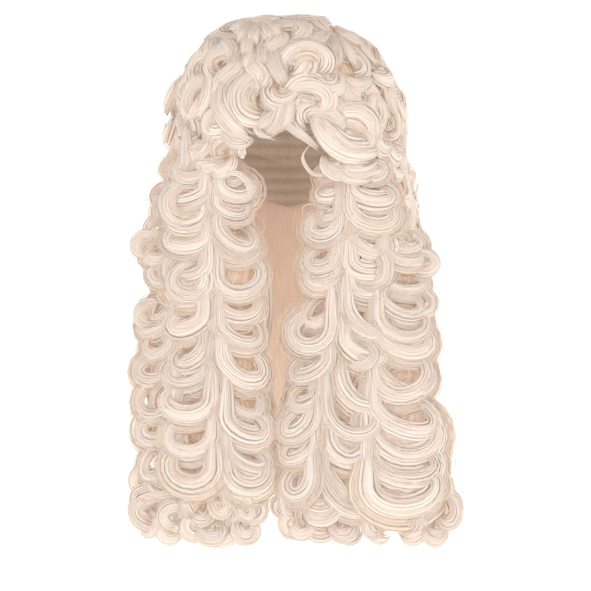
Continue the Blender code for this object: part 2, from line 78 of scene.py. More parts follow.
# The front falls: their backing, the spine that their curls leave, and the
# lines that the curls' tips reach
LAPPET_LEFT = np.array((
    # z, back_y, inner_x, spine_x, edge_x, outer_x
    (-108, -60, -48, -76, -108, -116),
    (-150, -62, -38, -76, -114, -130),
    (-200, -63, -27, -74, -118, -139),
    (-275, -64, -20, -74, -120, -141),
    (-320, -74, -23, -72, -122, -150),
    (-365, -86, -18, -68, -117, -140),
    (-430, -94, -21, -66, -112, -132),
    (-480, -98, -28, -66, -114, -152),
))
LAPPET_RIGHT = np.array((
    # z, back_y, inner_x, spine_x, edge_x, outer_x
    (-108, -60, 36, 60, 98, 108),
    (-150, -62, 30, 59, 104, 120),
    (-208, -63, 23, 58, 103, 136),
    (-260, -64, 11, 55, 98, 139),
    (-317, -74, 2, 46, 94, 143),
    (-360, -86, -7, 36, 90, 153),
    (-415, -94, -4, 33, 88, 150),
    (-480, -98, -2, 34, 90, 162),
))
LINES = {"inner": 2, "spine": 3, "edge": 4, "outer": 5}
LAPPET_WALL = 16.0
LAPPET_ROUND = 9.0          # how far its sides curve back from its middle

# A lock is as wide as its band from FULL_FROM to FULL_TO of its length, and
# narrower at its root and its tip
GUIDE_STEPS = 60
ROOT_SHARE = 0.35
TIP_SHARE = 0.55
FULL_FROM = 0.35
FULL_TO = 0.6
LEAD_STEPS = 16             # of a hook's guide, down the spine
HOOK_WIND = 0.5
HOOK_TURNS = (0, 90, 180, 270, 330)
HOOK_RISES = (1.0, 0.95, 0.75, 0.2, 0.1)

# Its strands. Ends are shares of its length, and sways are shares of its band
CORE_HALF = 0.9             # share of the band
CORE_DEPTH = -0.3           # share of the lock's thickness
CORE_END = 0.86
CORE_FLAT = 0.6
CORE_TONE = -0.1
MAIN_UNEVEN = 0.07          # in how the wide strands lie side by side
MAIN_ENDS = (0.78, 1.0)
MAIN_HALF = (0.9, 1.3)
MAIN_OVERLAP = 3.3
MAIN_FLAT = 0.28
MAIN_SWAY = 0.07
MAIN_TONE = 0.35            # how much their tones differ
FINE_ENDS = (0.75, 1.0)
FINE_HALF = (0.35, 0.6)     # in millimetres
FINE_REACH = 1.2            # how far across they lie; 1 is the band's edge
FINE_INNER = (1.2, 2.2)     # where those lie that fill a curl's middle
FINE_INSIDE = 0.5           # and their share
FINE_FLAT = 0.65
FINE_SWAY = 0.13
FILL = 0.75                 # how far a curl's wide strands reach into its middle
HOLLOW_PAINTED_SHADE = 1.1           # painted shade: how much darker the strands get towards it,
TIP_PAINTED_SHADE = 0.9             # how much darker the painted shade makes the tip that winds in,
ROOT_PAINTED_HIGHLIGHT = 0.5            # and, as a painted highlight, how much lighter the root is
UV_STEP = 1000              # keeps the streaks of one strand unlike another's
WALL_UV = (0.14, 0.035)     # for each column and each row of a wall


def unit(vectors):
    """Vectors of length one, along the last axis."""
    length = np.linalg.norm(vectors, axis=-1, keepdims=True)
    return vectors / np.maximum(length, 1e-9)


def smooth(share):
    """An even ramp from 0 to 1 with soft ends."""
    share = np.clip(share, 0.0, 1.0)
    return share * share * (3 - 2 * share)


def column(table, z, index):
    """One column of a table whose rows go down, read at heights."""
    return np.interp(-np.asarray(z, float), -table[:, 0], table[:, index])


class Hair:
    """The strands of one piece, gathered as closed tubes and made one mesh."""

    def __init__(self, name, seed):
        self.name = name
        self.rng = np.random.default_rng(seed)
        self.points = []
        self.faces = []
        self.uvs = []
        self.tones_and_shade = []
        self.count = 0

    def add(self, points, faces, uvs, tones_and_shade):
        """Points, faces of one size that number from 0, and what they carry."""
        self.points.append(points.reshape(-1, 3))
        self.faces.extend(face + self.count for face in faces)
        self.uvs.extend(uvs)
        self.tones_and_shade.append(tones_and_shade.ravel())
        self.count += points.size // 3

    def tubes(self, middle, across, out, wide, deep, sides, tone_and_shade):
        """Closed tubes: middle, across and out are strands x steps x 3."""
        strands, steps = middle.shape[:2]
        angle = math.pi / 2 + np.arange(sides) * (math.tau / sides)
        section = (across[:, :, None] * (np.cos(angle)[:, None] * wide[:, :, None, None])
                   + out[:, :, None] * (np.sin(angle)[:, None] * deep[:, :, None, None]))
        points = middle[:, :, None] + section
        index = np.arange(strands * steps * sides).reshape(strands, steps, sides)
        turned = np.roll(index, -1, axis=2)
        quads = np.stack((index[:, :-1], index[:, 1:], turned[:, 1:], turned[:, :-1]), -1)
        u = np.arange(sides + 1) / sides
        v = np.arange(steps) / (steps - 1)
        uv = np.zeros((strands, steps - 1, sides, 4, 2))
        uv[..., 0, 0] = uv[..., 1, 0] = u[:-1]
        uv[..., 2, 0] = uv[..., 3, 0] = u[1:]
        uv[..., 0, 1] = uv[..., 3, 1] = v[:-1, None]
        uv[..., 1, 1] = uv[..., 2, 1] = v[1:, None]
        uv[..., 0] += self.rng.integers(0, UV_STEP, strands)[:, None, None, None]
        ends = np.zeros((strands * sides, 2))
        tones_and_shade = np.repeat(np.broadcast_to(tone_and_shade, (strands, steps))[..., None], sides, axis=2)
        self.add(points, (quads.reshape(-1, 4), index[:, 0], index[:, -1, ::-1]),
                 (uv.reshape(-1, 2), ends, ends), tones_and_shade)

    def lock(self, guide, out, band, thick, main=11, fine=9, steps=20, tone_and_shade=0.0,
             root=ROOT_SHARE, hollow=0, loose=0.0):
        """A curl of strands along a guide: a core, wide strands and fine ones.

        hollow is 1 or -1 for the side of the guide that a ring's middle lies
        on, which the strands then reach into. loose spreads them at the tip.
        """
        rng = self.rng
        along = unit(np.gradient(guide, axis=0))
        across = unit(np.cross(along, out))
        out = np.cross(across, along)

        def at(values, share):
            place = share * (len(guide) - 1)
            low = np.clip(place.astype(int), 0, len(guide) - 2)
            part = (place - low)[..., None]
            return values[low] * (1 - part) + values[low + 1] * part

        def bundle(a, d, first, last, half, sides, shade, sway, flat):
            # a and d are places across the band and up from it
            part = np.linspace(0, 1, steps)
            share = first[:, None] + (last - first)[:, None] * part
            rise = root + (1 - root) * smooth(share / FULL_FROM)
            full = rise * (1 - (1 - TIP_SHARE) * smooth((share - FULL_TO) / (1 - FULL_TO)))
            phase = rng.random((len(a), 1)) * math.tau
            speed = rng.uniform(0.8, 1.8, (len(a), 1))
            wave = sway * np.sin(math.tau * speed * share + phase)
            stray = loose * smooth((share - 0.5) / 0.5) * rng.normal(0, 1, (len(a), 1))
            aside = band * full * (a[:, None] + wave + stray)
            above = thick * full * (d[:, None] + 0.5 * np.abs(stray))
            middle = at(guide, share) + at(across, share) * aside[..., None]
            middle = middle + at(out, share) * above[..., None]
            run = unit(np.gradient(middle, axis=1))
            over = at(out, share)
            beside = unit(np.cross(run, over))
            over = np.cross(beside, run)
            taper = np.minimum(1, 0.5 + part * 4) * np.sqrt(np.clip(1 - part ** 4, 0.02, 1))
            wide = half[:, None] * taper * (0.5 + 0.5 * full)
            # painted shade towards a curl's middle and at its tip, and a painted highlight at its
            # root
            hollow_shade = np.clip(a * hollow - 0.7, 0, 1.2)[:, None] * HOLLOW_PAINTED_SHADE
            tones_and_shade = shade[:, None] - hollow_shade + ROOT_PAINTED_HIGHLIGHT * (1 - smooth(share / FULL_FROM))
            tones_and_shade = tones_and_shade - TIP_PAINTED_SHADE * smooth((share - FULL_TO) / (1 - FULL_TO))
            self.tubes(middle, beside, over, wide, wide * flat, sides, tones_and_shade)

        one = np.ones(1)
        bundle(0 * one, CORE_DEPTH * one, 0 * one, CORE_END * one, one * band * CORE_HALF, 5,
               one * (tone_and_shade + CORE_TONE), 0, CORE_FLAT)
        a = np.linspace(-1, 1, main) + rng.normal(0, MAIN_UNEVEN, main)
        if hollow:
            a = a + hollow * FILL * np.clip((1 + hollow * a) / 2, 0, 1) ** 1.5
        d = 0.1 + 0.8 * np.sqrt(np.clip(1 - a * a, 0, 1)) * rng.uniform(0.9, 1.0, main)
        bundle(a, d, rng.uniform(0, 0.05, main), rng.uniform(*MAIN_ENDS, main),
               rng.uniform(*MAIN_HALF, main) * band * MAIN_OVERLAP / main, 3,
               tone_and_shade + rng.normal(0, MAIN_TONE, main), MAIN_SWAY, MAIN_FLAT)
        a = rng.uniform(-FINE_REACH, FINE_REACH, fine)
        if hollow:
            inner = rng.random(fine) < FINE_INSIDE
            a = np.where(inner, hollow * rng.uniform(*FINE_INNER, fine), a)
        d = 0.45 + 0.75 * np.sqrt(np.clip(1 - (a / 1.3) ** 2, 0, 1)) * rng.uniform(0.8, 1.15, fine)
        bundle(a, d, rng.uniform(0, 0.15, fine), rng.uniform(*FINE_ENDS, fine),
               rng.uniform(*FINE_HALF, fine), 3, tone_and_shade + rng.normal(0.2, 0.4, fine),
               FINE_SWAY, FINE_FLAT)

    def wisp(self, guide, out, half, steps=24, tone_and_shade=0.3):
        """One fly-away hair, or a few stuck together."""
        picked = np.linspace(0, len(guide) - 1, steps).round().astype(int)
        middle = guide[picked][None]
        run = unit(np.gradient(middle, axis=1))
        across = unit(np.cross(run, out[picked][None]))
        over = np.cross(across, run)
        part = np.linspace(0, 1, steps)
        wide = (half * np.sqrt(np.clip(1 - part ** 3, 0.05, 1)))[None]
        self.tubes(middle, across, over, wide, wide * 0.8, 3, np.array([[tone_and_shade]]))

    def wall(self, front, back, front_painted_shade, back_tone_and_shade):
        """A closed wall between two grids of points, the front's rows going down
        and its columns to the right as seen from outside."""
        rows, columns = front.shape[:2]
        a = np.arange(rows * columns).reshape(rows, columns)
        b = a + rows * columns
        rim = np.concatenate((a[0, :-1], a[:-1, -1], a[-1, :0:-1], a[:0:-1, 0]))
        after = np.roll(rim, -1)
        faces = np.concatenate((
            np.stack((a[:-1, :-1], a[1:, :-1], a[1:, 1:], a[:-1, 1:]), -1).reshape(-1, 4),
            np.stack((b[:-1, :-1], b[:-1, 1:], b[1:, 1:], b[1:, :-1]), -1).reshape(-1, 4),
            np.stack((rim, after, after + rows * columns, rim + rows * columns), -1)))
        points = np.concatenate((front.reshape(-1, 3), back.reshape(-1, 3)))
        u, v = np.meshgrid(np.arange(columns) * WALL_UV[0], np.arange(rows) * WALL_UV[1])
        side_uv = np.stack((u, v), -1).reshape(-1, 2)
        uv = np.concatenate((side_uv, side_uv))[faces.ravel()]
        self.add(points, (faces,), (uv,), np.concatenate((front_painted_shade.ravel(), back_tone_and_shade.ravel())))

    def build(self, material):
        """The piece as one object, with its strand coordinates, and its tones with the painted
        shade and painted highlight that they carry.
        """
        mesh = bpy.data.meshes.new(self.name)
        loops = np.concatenate([face.ravel() for face in self.faces])
        sizes = np.concatenate([np.full(len(face), face.shape[1]) for face in self.faces])
        starts = np.concatenate(([0], np.cumsum(sizes)[:-1]))
        points = np.concatenate(self.points) * MM
        mesh.vertices.add(len(points))
        mesh.vertices.foreach_set("co", points.ravel().astype(np.float32))
        mesh.loops.add(len(loops))
        mesh.loops.foreach_set("vertex_index", loops.astype(np.int32))
        mesh.polygons.add(len(sizes))
        mesh.polygons.foreach_set("loop_start", starts.astype(np.int32))
        mesh.polygons.foreach_set("loop_total", sizes.astype(np.int32))
        mesh.update(calc_edges=True)
        layer = mesh.uv_layers.new(name="strand")
        layer.uv.foreach_set("vector", np.concatenate(self.uvs).ravel().astype(np.float32))
        tone_and_shade = mesh.attributes.new("tone_and_shade", "FLOAT", "POINT")
        tone_and_shade.data.foreach_set("value", np.concatenate(self.tones_and_shade).astype(np.float32))
        mesh.shade_smooth()
        mesh.materials.append(material)
        obj = bpy.data.objects.new(self.name, mesh)
        bpy.context.scene.collection.objects.link(obj)
        return obj


# Where curls lie

def crown_level(z):
    """Half width and half depth of the crown at a height."""
    rise = np.clip((np.asarray(z, float) - EAR_LEVEL) / CROWN_HALF[2], 0, 0.999)
    level = (1 - rise ** CROWN_POWER) ** (1 / CROWN_POWER)
    return CROWN_HALF[0] * level, CROWN_HALF[1] * level


def crown_surface(direction, lift):
    """Points over the crown in directions from its middle, and the way out."""
    across = np.linalg.norm(direction[..., :2] / CROWN_HALF[:2], axis=-1)
    rise = np.abs(direction[..., 2]) / CROWN_HALF[2]
    scale = (across ** CROWN_POWER + rise ** CROWN_POWER) ** (1 / CROWN_POWER)
    point = direction / scale[..., None]
    flat = ((across / scale) ** (CROWN_POWER - 2))[..., None]
    steep = (rise / scale) ** (CROWN_POWER - 1) / CROWN_HALF[2]
    outward = np.concatenate((point[..., :2] / CROWN_HALF[:2] ** 2 * flat,
                              (np.sign(point[..., 2]) * steep)[..., None]), -1)
    outward = unit(outward)
    lean = 1 - DOME_LEAN * smooth(point[..., 0] / DOME_SIDE)
    lift = lift + DOME_RISE * lean * smooth((point[..., 2] + EAR_LEVEL - DOME_FROM) / DOME_SPAN)
    return point + (0, 0, EAR_LEVEL) + outward * lift[..., None], outward


def crown_disc(azimuth, z):
    """A place on the crown for a curl: right, up and lift round one spot."""
    half_x, half_y = crown_level(z)
    turn = math.radians(azimuth)
    spot = np.array((half_x * math.sin(turn), -half_y * math.cos(turn), z - EAR_LEVEL))
    _, outward = crown_surface(spot, np.zeros(()))
    right = unit(np.cross((0.0, 0.0, 1.0), outward))
    upward = np.cross(outward, right)

    def place(u, v, lift):
        spots = spot + right * u[..., None] + upward * v[..., None]
        return crown_surface(spots, lift)
    return place


def front_place(x, z, lift):
    """Points on the front of the crown, given as the camera sees them."""
    real_x, real_z = np.array(x, float), np.array(z, float)
    for _ in range(VIEW_ROUNDS):
        rise = np.clip(real_z - EAR_LEVEL, 0, CROWN_HALF[2] * 0.999)
        room = (1 - (rise / CROWN_HALF[2]) ** CROWN_POWER) ** (2 / CROWN_POWER)
        y = -CROWN_HALF[1] * np.sqrt(np.clip(room - (real_x / CROWN_HALF[0]) ** 2, 0, 1))
        points, outward = crown_surface(np.stack((real_x, y, rise), -1), lift)
        points[..., 2] += np.minimum(real_z - EAR_LEVEL, 0)
        scale = 1 + (points[..., 1] - FACE_Y) / CAMERA_AWAY
        real_x = real_x + VIEW_STEP * (x - CAMERA_X - (points[..., 0] - CAMERA_X) / scale)
        real_z = real_z + VIEW_STEP * (z - CAMERA_Z - (points[..., 2] - CAMERA_Z) / scale)
        real_z = np.minimum(real_z, EAR_LEVEL + CROWN_HALF[2])
    return points, outward


def fall_place(azimuth, z, lift):
    """Points over the fall below the ears, and the way out of it."""
    half_x, half_y = column(FALL, z, 1), column(FALL, z, 2)
    turn = np.radians(azimuth)
    x, y = half_x * np.sin(turn), -half_y * np.cos(turn)
    outward = unit(np.stack((x / half_x ** 2, y / half_y ** 2, np.zeros_like(x)), -1))
    return np.stack((x, y, z + 0 * x), -1) + outward * np.asarray(lift)[..., None], outward


def crown_place(azimuth, z, lift):
    """Points over the crown at azimuths and levels."""
    half_x, half_y = crown_level(z)
    turn = np.radians(azimuth)
    direction = np.stack((half_x * np.sin(turn), -half_y * np.cos(turn),
                          np.maximum(z - EAR_LEVEL, 0) + 0 * turn), -1)
    points, outward = crown_surface(direction, lift)
    points[..., 2] += np.minimum(z - EAR_LEVEL, 0)
    return points, outward


def lappet_sides(table, z):
    """Where the inner and the outer side of a lappet lie at heights."""
    return column(table, z, LINES["inner"]), column(table, z, LINES["outer"])


def lappet_place(table):
    """Where a point of a lappet's curls lies: across, height and lift."""
    def place(x, z, lift):
        inner, outer = lappet_sides(table, z)
        middle, half = (inner + outer) / 2, np.abs(outer - inner) / 2
        side = np.clip((x - middle) / half, -1.3, 1.3)
        front = column(table, z, 1) - LAPPET_WALL + LAPPET_ROUND * side ** 2
        outward = unit(np.stack((0.7 * side, -np.ones_like(side), 0 * side), -1))
        return np.stack((x, front, z), -1) + outward * np.asarray(lift)[..., None], outward
    return place


def ring(place, x, z, half_w, half_h, start, sweep, lift, wind=0.4, sink=0.3):
    """The guide of a curl that winds in, sunk at both its ends."""
    share = np.linspace(0, 1, GUIDE_STEPS)
    angle = np.radians(start + sweep * share)
    size = 1 - wind * share ** 1.3
    rise = lift * (sink + (1 - sink) * np.sin(math.pi * np.clip(share * 1.05, 0, 1)))
    return place(x + half_w * size * np.cos(angle), z + half_h * size * np.sin(angle), rise)


def hook(place, root, tip, z, tall, lift, sweep, lead, tilt=0.0):
    """The guide of a hook: it hangs down a spine, turns up at the outer edge
    and winds in behind the hook above it. A tilt lowers its outer edge."""
    side, half = math.copysign(1, tip - root), abs(tip - root) / 2
    turn = np.linspace(0, sweep, GUIDE_STEPS - LEAD_STEPS)
    size = 1 - HOOK_WIND * smooth((turn - 120) / (sweep - 120))
    across = 1 - size * np.cos(np.radians(turn))
    u = root + side * half * across
    v = z - tall * size * np.sin(np.radians(turn)) - tilt * tall * across
    before = np.linspace(1, 0, LEAD_STEPS, endpoint=False)
    rise = np.concatenate((HOOK_RISES[0] - 0.8 * before ** 4,
                           np.interp(turn, HOOK_TURNS, HOOK_RISES)))
    return place(np.concatenate((np.full(LEAD_STEPS, root), u)),
                 np.concatenate((z + lead * before, v)), lift * rise)


def stroke(place, spots, lift, sink=0.35):
    """The guide of a lock along a smooth curve through a few spots."""
    spots = np.array(spots, float)
    ends = np.concatenate((2 * spots[:1] - spots[1:2], spots, 2 * spots[-1:] - spots[-2:-1]))
    share = np.linspace(0, len(spots) - 1 - 1e-6, GUIDE_STEPS)
    low = share.astype(int)
    t = (share - low)[:, None]
    a, b, c, d = (ends[low + i] for i in range(4))
    curve = 0.5 * (2 * b + (c - a) * t + (2 * a - 5 * b + 4 * c - d) * t ** 2
                   + (3 * b - a - 3 * c + d) * t ** 3)
    along = share / share[-1]
    rise = lift * (sink + (1 - sink) * np.sin(math.pi * along))
    return place(curve[:, 0], curve[:, 1], rise)


def seen_disc(x, z):
    """A place on the crown round a spot given as the camera sees it. The dome's
    rise comes off again, because crown_disc adds it."""
    spot, _ = front_place(np.array([float(x)]), np.array([float(z)]), np.zeros(1))
    azimuth = math.degrees(math.atan2(spot[0, 0] / CROWN_HALF[0], -spot[0, 1] / CROWN_HALF[1]))
    rise = DOME_RISE * smooth((spot[0, 2] - DOME_FROM) / (DOME_SPAN + DOME_RISE))
    return crown_disc(azimuth, min(spot[0, 2] - rise, CROWN_TOP))


# The curls that show on the front of the crown, placed as the camera sees them
FRONT_RINGS = {
    # piece: x, z, half_w, half_h, start, sweep, band, lift
    "fringe_left": (
        (-25, -55, 22, 25, 75, 235, 9, 15), (-80, -56, 18, 22, 60, 250, 8, 13),
        (-53, -50, 13, 20, 80, 200, 7, 12), (-60, -78, 16, 15, 60, 240, 7, 12),
        (-40, -82, 16, 14, 100, 230, 7, 11),
    ),
    "fringe_right": (
        (16, -57, 22, 16, 150, -235, 9, 15), (70, -65, 19, 19, 100, -280, 8, 13),
        (50, -52, 14, 14, 130, -250, 6, 11), (92, -52, 14, 16, 60, 250, 7, 11),
        (30, -76, 16, 13, 160, -230, 7, 11),
    ),
    "temple_roll_left": (
        (-82, -90, 28, 19, 175, 200, 10, 15), (-76, -94, 15, 12, 160, 260, 6, 16),
        (-104, -104, 13, 14, 110, 270, 6, 11), (-58, -110, 14, 14, 150, 250, 6, 11),
    ),
    "temple_roll_right": (
        (56, -86, 25, 22, 150, -230, 10, 15), (62, -92, 13, 12, 150, -260, 6, 16),
        (96, -88, 15, 18, 80, -270, 7, 12), (42, -112, 14, 14, 30, -250, 6, 11),
    ),
    "crown_top": (
        (17, -24, 23, 17, 210, -290, 9, 15), (-74, -2, 19, 15, 30, 240, 8, 12),
        (-58, -24, 19, 15, 30, 250, 8, 12), (-94, -24, 17, 17, 40, 250, 7, 12),
        (-52, 16, 16, 13, 20, 250, 7, 11), (32, 14, 18, 13, 160, -250, 7, 10),
        (58, 2, 17, 15, 150, -250, 7, 8), (80, -14, 16, 16, 130, -260, 7, 8),
        (96, -36, 14, 15, 100, -260, 6, 9), (-14, 22, 15, 12, 60, 240, 7, 12),
    ),
}
FRONT_STROKES = {
    # piece: band, lift, then the spots x, z that the lock passes
    "crown_top": (
        (7, 14, ((-34, 26), (-42, 14), (-50, -2))),
        (6, 13, ((-34, 24), (-38, 10), (-40, -6), (-46, -20))),
        (6, 15, ((-33, 25), (-32, 12), (-30, -2))), (6, 14, ((-31, 25), (-22, 14), (-16, 2))),
        (6, 14, ((-30, 26), (-16, 18), (-4, 8))), (6, 13, ((-26, 6), (-25, -10), (-27, -26))),
        (6, 14, ((-15, 4), (-14, -12), (-7, -30), (2, -40))),
        (6, 13, ((-34, 0), (-38, -14), (-44, -28))), (6, 13, ((-50, -2), (-52, -18), (-62, -34))),
        (5, 14, ((44, 15), (48, -4), (47, -25))), (5, 14, ((46, 15), (58, -4), (68, -25))),
        (6, 14, ((44, 16), (60, 8), (76, -2))), (6, 14, ((42, 15), (28, 6), (22, -8))),
        (6, 13, ((30, -28), (42, -37), (58, -31))), (6, 13, ((52, -30), (68, -38), (86, -30))),
    ),
    "fringe_left": (
        (9, 15, ((-62, -28), (-66, -54), (-54, -78), (-32, -92))),
        (5, 14, ((-5, -40), (-5, -58), (-12, -76), (-22, -88))),
    ),
    "fringe_right": (
        (5, 14, ((-1, -38), (1, -56), (-3, -74), (-14, -84))),
        (5, 12, ((50, -44), (49, -58), (43, -68))),
        (3, 18, ((-9, -75), (4, -80), (18, -90), (31, -101))),
    ),
    "temple_roll_right": (
        (11, 15, ((24, -64), (36, -84), (56, -100), (80, -100), (94, -88))),
        (8, 12, ((44, -112), (58, -124), (80, -122), (94, -106))),
    ),
    "temple_roll_left": (
        (8, 13, ((-112, -84), (-104, -106), (-80, -116), (-52, -108))),
    ),
}

# Rows of curls over all of the crown, under the named ones in front
CROWN_ROWS = {
    # piece: z, first azimuth, last azimuth, count, lift
    "crown_top": (
        (-28, 0, 342, 19, 10), (-8, 12, 348, 15, 9), (6, 0, 330, 12, 9), (14, 25, 335, 7, 9),
        (16.7, 60, 300, 3, 9), (15.6, -30, 30, 3, 8),
    ),
    "fringe_left": (
        (-50, -52, -6, 4, 9), (-70, -56, -10, 4, 9),
    ),
    "fringe_right": (
        (-50, 6, 52, 4, 9), (-70, 10, 56, 4, 9),
    ),
    "temple_roll_left": (
        (-86, -56, -32, 2, 10), (-104, -60, -30, 3, 9),
    ),
    "temple_roll_right": (
        (-86, 32, 56, 2, 10), (-104, 30, 60, 3, 9),
    ),
    "crown_side_left": (
        (-48, -64, -112, 4, 15), (-72, -60, -116, 4, 15), (-97, -64, -112, 4, 14),
    ),
    "crown_side_right": (
        (-48, 64, 112, 4, 12), (-72, 60, 116, 4, 12), (-97, 64, 112, 4, 12),
    ),
    "crown_back": (
        (-50, 122, 238, 8, 12), (-74, 128, 232, 7, 12), (-97, 122, 238, 8, 11),
    ),
}
WAVE_SHARE = 0.35                      # of these are waves, and the rest are rings
CROWN_CURL = (18.0, 17.0, 8.5)         # half_w, half_h, band

# Columns of hooks down the falls
LAPPET_COLUMNS = {
    # piece: table, from, to, first z, last z, count, tall for its width, band, lift
    "lappet_left_outer": (
        (LAPPET_LEFT, "edge", "outer", -120, -424, 14, 0.5, 6, 11),
        (LAPPET_LEFT, "spine", "edge", -122, -412, 12, 0.46, 8, 17),
    ),
    "lappet_left_inner": (
        (LAPPET_LEFT, "spine", "inner", -118, -416, 13, 0.46, 7, 16),
    ),
    "lappet_right_inner": (
        (LAPPET_RIGHT, "spine", "inner", -120, -416, 13, 0.46, 7, 16),
    ),
    "lappet_right_outer": (
        (LAPPET_RIGHT, "spine", "edge", -122, -412, 12, 0.46, 8, 17),
    ),
    "lappet_right_edge": (
        (LAPPET_RIGHT, "edge", "outer", -192, -424, 12, 0.4, 8, 14),
    ),
}
# Curls of the lappets that are placed one by one
LAPPET_RINGS = {
    # piece: x, z, half_w, half_h, start, sweep, band, lift
    "lappet_left_outer": (
        (-89, -228, 20, 19, 70, 320, 6, 21), (-98, -156, 17, 24, 60, 270, 6, 20),
        (-132, -196, 12, 15, 30, 250, 5, 14), (-128, -262, 13, 15, 60, 250, 5, 14),
    ),
    "lappet_right_outer": (
        (81, -216, 14, 22, 120, -280, 5, 21), (66, -300, 17, 15, 110, -290, 5, 21),
    ),
    "lappet_right_edge": (
        (123, -212, 14, 13, 140, -290, 5, 17), (124, -250, 12, 15, 100, -260, 5, 15),
    ),
}

# Thin locks that stand free, and the curled ends
STRAY_APART = 1.4           # between a thin lock's three strands, in half widths
STRAYS = {
    # piece: y, half width, lift, then the spots x, z
    "side_fall_right": (
        (-30, 1.3, 8, ((104, -146), (114, -142), (123, -134), (125, -122), (118, -112))),
        (-30, 0.9, 5, ((104, -150), (116, -147), (127, -140), (129, -130))),
    ),
    "temple_roll_right": (
        (-112, 0.8, 6, ((21, -97), (14, -110), (22, -124), (34, -126), (42, -116))),
    ),
    "temple_roll_left": (
        (-112, 1.2, 4, ((-58, -124), (-46, -126), (-38, -136), (-36, -150))),
    ),
    "side_fall_left": (
        (-30, 1.0, 6, ((-112, -104), (-122, -108), (-128, -116), (-124, -124))),
    ),
}
END_RINGS = {
    # piece: x, z, half_w, half_h, start, sweep, band, lift
    "lappet_left_ends": (
        (-122, -452, 27, 23, 50, 240, 6, 14), (-104, -456, 18, 17, 40, 250, 6, 16),
        (-128, -440, 20, 17, 60, 240, 6, 12), (-66, -430, 14, 25, 150, 260, 6, 16),
        (-46, -434, 14, 25, 30, -250, 6, 14), (-86, -440, 16, 22, 30, 260, 6, 15),
        (-74, -464, 17, 14, 160, 260, 6, 12), (-46, -462, 15, 15, 20, -260, 6, 12),
    ),
    "lappet_right_ends": (
        (38, -436, 28, 24, 180, 190, 8, 15), (10, -440, 15, 20, 60, 250, 6, 12),
        (18, -460, 16, 15, 20, -260, 6, 12), (56, -462, 17, 14, 150, 260, 6, 13),
        (84, -460, 15, 17, 60, 260, 6, 13), (112, -460, 15, 17, 120, -260, 6, 13),
        (146, -448, 16, 20, 100, -280, 6, 13), (136, -464, 16, 13, 30, -260, 6, 12),
    ),
}
END_STROKES = {
    # piece: band, lift, then the spots x, z
    "lappet_left_ends": (
        (6, 15, ((-70, -396), (-82, -416), (-92, -438), (-96, -462))),
        (6, 16, ((-68, -396), (-66, -420), (-60, -442), (-62, -468))),
        (6, 15, ((-66, -396), (-52, -416), (-42, -442), (-50, -470))),
    ),
    "lappet_right_ends": (
        (6, 16, ((30, -396), (24, -420), (18, -442), (16, -468))),
        (6, 15, ((32, -396), (44, -416), (58, -436), (70, -462))),
        (6, 15, ((80, -416), (90, -436), (84, -454), (94, -474))),
        (6, 15, ((100, -416), (110, -436), (104, -454), (114, -474))),
        (6, 14, ((120, -416), (128, -436), (124, -454), (134, -472))),
    ),
}
END_FIELDS = {
    # piece: z, first x, last x, count
    "lappet_left_ends": (
        (-424, -34, -138, 5), (-446, -38, -132, 5), (-464, -42, -134, 5),
    ),
    "lappet_right_ends": (
        (-424, 6, 146, 6), (-446, 4, 150, 7), (-464, 10, 144, 6),
    ),
}

# Hooks of the sides and the back
FALL_COLUMNS = {
    # piece: spine azimuth, reach in degrees, first z, last z, count
    "side_fall_left": (
        (-76, 20, -112, -270, 7), (-97, 20, -118, -276, 7), (-97, -20, -112, -270, 7),
    ),
    "side_fall_right": (
        (76, -20, -112, -270, 7), (97, -20, -118, -276, 7), (97, 20, -112, -270, 7),
    ),
}
BACK_LEVELS = (-100.0, -181.0, -262.0, -343.0, -424.0)
BACK_COLUMNS = (
    # spine azimuth, reach in degrees
    (139, -21), (139, 21), (180, -20), (180, 20), (221, -21), (221, 21),
)
BACK_HOOKS = 3              # how many hooks hang from each spine in a row
FALL_HOOK = (0.48, 8.0, 12.0)   # tall for its width, band, lift
FALL_RADIUS = 118.0             # turns its width into degrees
LOWER_APART = 1.2               # over 1, a lappet's hooks are further apart lower down
END_CURL = (12.0, 13.0, 5.5, 3.0, 8.0)  # half_w, half_h, band, thickness, lift
END_TONE = -0.15


def jitter(rng, value, amount):
    """A value changed a little, evenly up or down."""
    return value * (1 + rng.uniform(-amount, amount))


def turn_side(sweep):
    """The side of a guide that the middle of its ring lies on."""
    return 1 if sweep < 0 else -1


def add_front(hair, piece):
    """The curls and strokes of the front that are placed one by one."""
    for x, z, half_w, half_h, start, sweep, band, lift in FRONT_RINGS.get(piece, ()):
        guide, out = ring(seen_disc(x, z), 0, 0, half_w, half_h, start, sweep, lift)
        hair.lock(guide, out, band, 0.5 * band, main=12, fine=11, steps=19, root=0.5,
                  hollow=turn_side(sweep), loose=0.05)
    for band, lift, spots in FRONT_STROKES.get(piece, ()):
        guide, out = stroke(front_place, spots, lift)
        hair.lock(guide, out, band, 0.5 * band, steps=14, root=0.5, loose=0.05)


